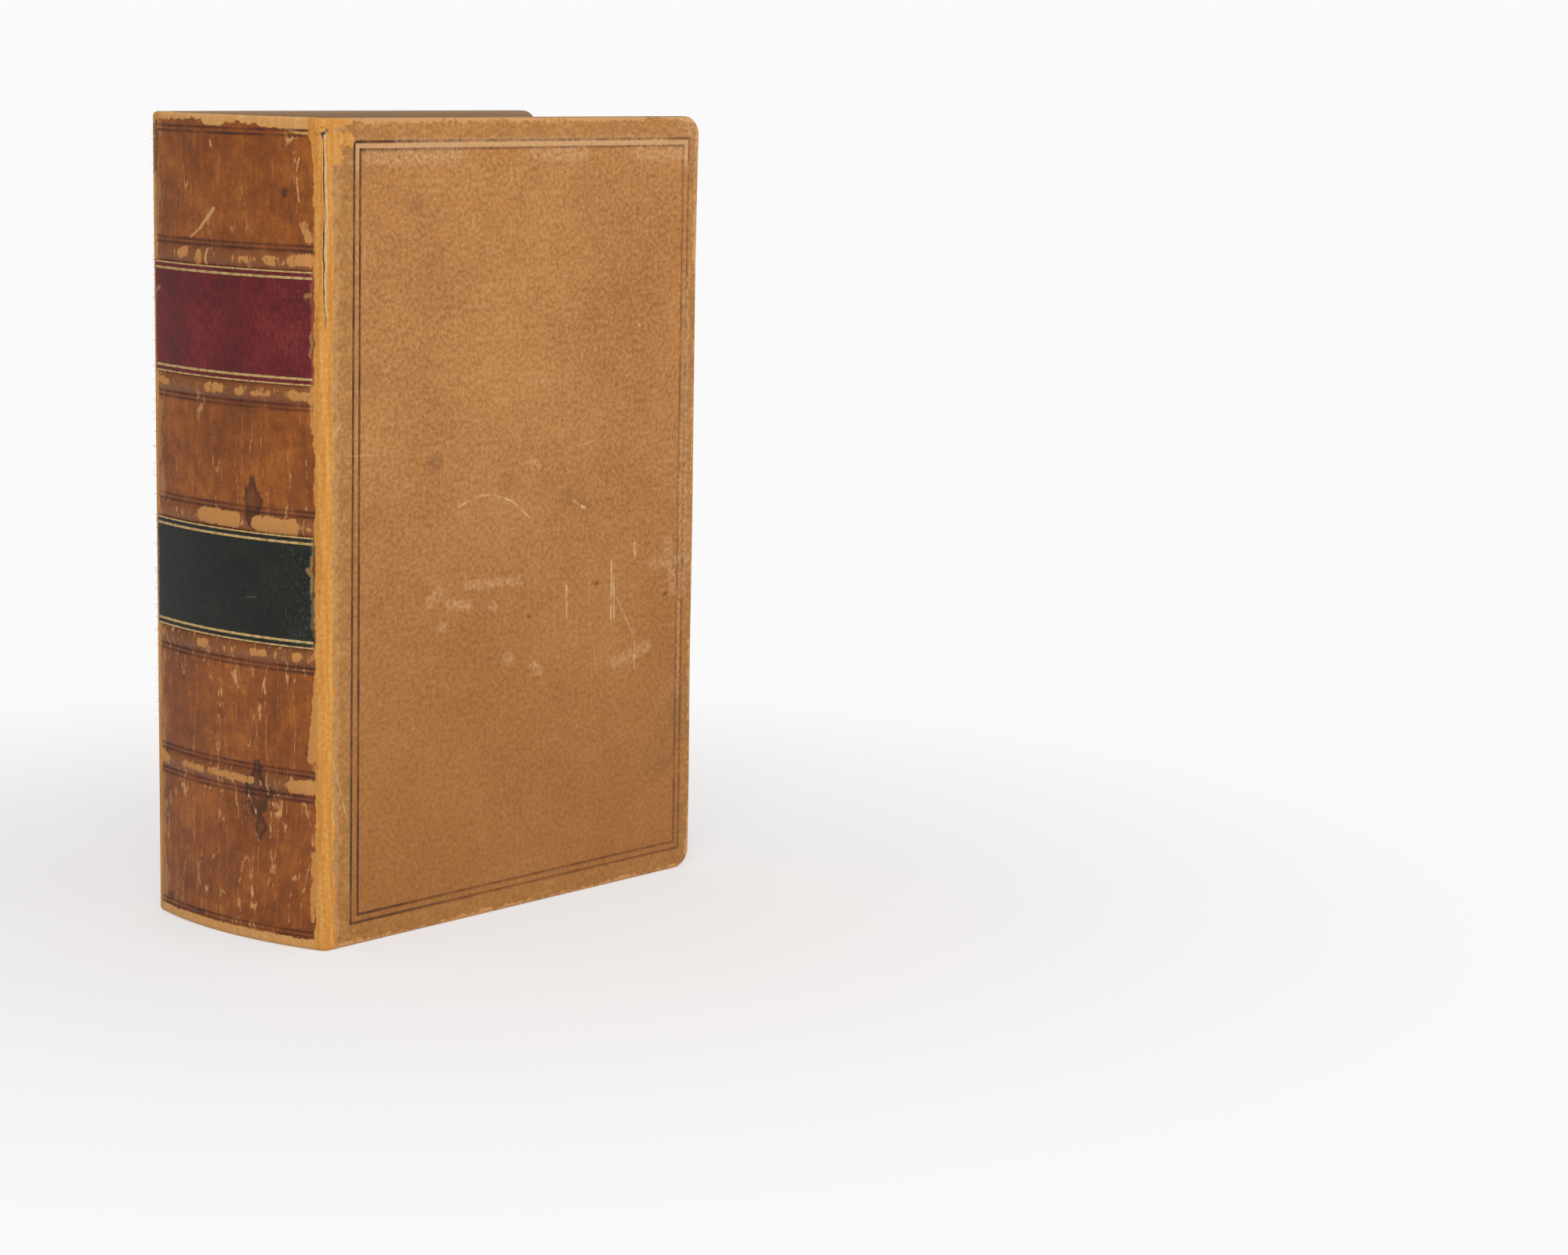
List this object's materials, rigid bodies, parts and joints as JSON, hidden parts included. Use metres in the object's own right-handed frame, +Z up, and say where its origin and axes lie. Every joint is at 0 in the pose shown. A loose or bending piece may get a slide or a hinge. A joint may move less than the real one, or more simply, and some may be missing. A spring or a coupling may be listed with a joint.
{
  "type": "antique leather book",
  "caption": "Thick antique law book in tan calf, closed and standing on its tail, with a rounded hollow back, raised bands, bare spine labels and two hinged covers.",
  "frame": {"origin": "centre of the bounding box, on the plane the tail stands on", "axes": "+Z up, from tail to head of the book; +X towards the fore-edge, with the spine at -X; the front cover faces -Y and the back cover +Y"},
  "size_m": [0.1735, 0.079, 0.254],
  "materials": {
    "cover_leather": "tan calf, worn and rubbed, satin",
    "spine_leather": "darker brown calf with fine cracks, satin",
    "title_leather": "pared maroon goat leather with gilt lines, satin",
    "author_leather": "pared green-black goat leather with gilt lines, satin",
    "page_paper": "browned cut page edges, matt",
    "endpaper": "cream wove paper, matt",
    "lining_paper": "brown kraft paper, matt",
    "millboard": "grey-brown pressed board, matt",
    "card": "grey-brown card, matt",
    "mull": "open starched cotton, matt",
    "linen_tape": "unbleached linen, matt",
    "green_cloth": "dark green book cloth, matt",
    "silk": "red and cream silk thread wound in stripes, satin"
  },
  "bodies": {
    "book_block": {"text_block": "page_paper", "head_endband": "silk", "tail_endband": "silk", "spine_mull": "mull", "spine_paper_lining": "lining_paper", "sewing_tape_1": "linen_tape", "sewing_tape_2": "linen_tape", "sewing_tape_3": "linen_tape", "sewing_tape_4": "linen_tape", "spine_leather": "spine_leather", "spine_stiffener": "card", "spine_cloth_lining": "green_cloth", "title_label": "title_leather", "author_label": "author_leather", "band_strip_1": "card", "band_strip_2": "card", "band_strip_3": "card", "band_strip_4": "card", "band_strip_5": "card", "front_flyleaf": "endpaper", "back_flyleaf": "endpaper"},
    "front_cover": {"front_leather": "cover_leather", "front_board": "millboard", "front_pastedown": "endpaper"},
    "back_cover": {"back_leather": "cover_leather", "back_board": "millboard", "back_pastedown": "endpaper"}
  },
  "joints": [
    {"name": "front_hinge", "type": "hinge", "parent": "book_block", "child": "front_cover", "pos_m": [-0.07932, -0.03909, 0.127], "axis": [0, 0, -1], "range_deg": [0, 175]},
    {"name": "back_hinge", "type": "hinge", "parent": "book_block", "child": "back_cover", "pos_m": [-0.07932, 0.03909, 0.127], "axis": [0, 0, 1], "range_deg": [0, 175]}
  ]
}
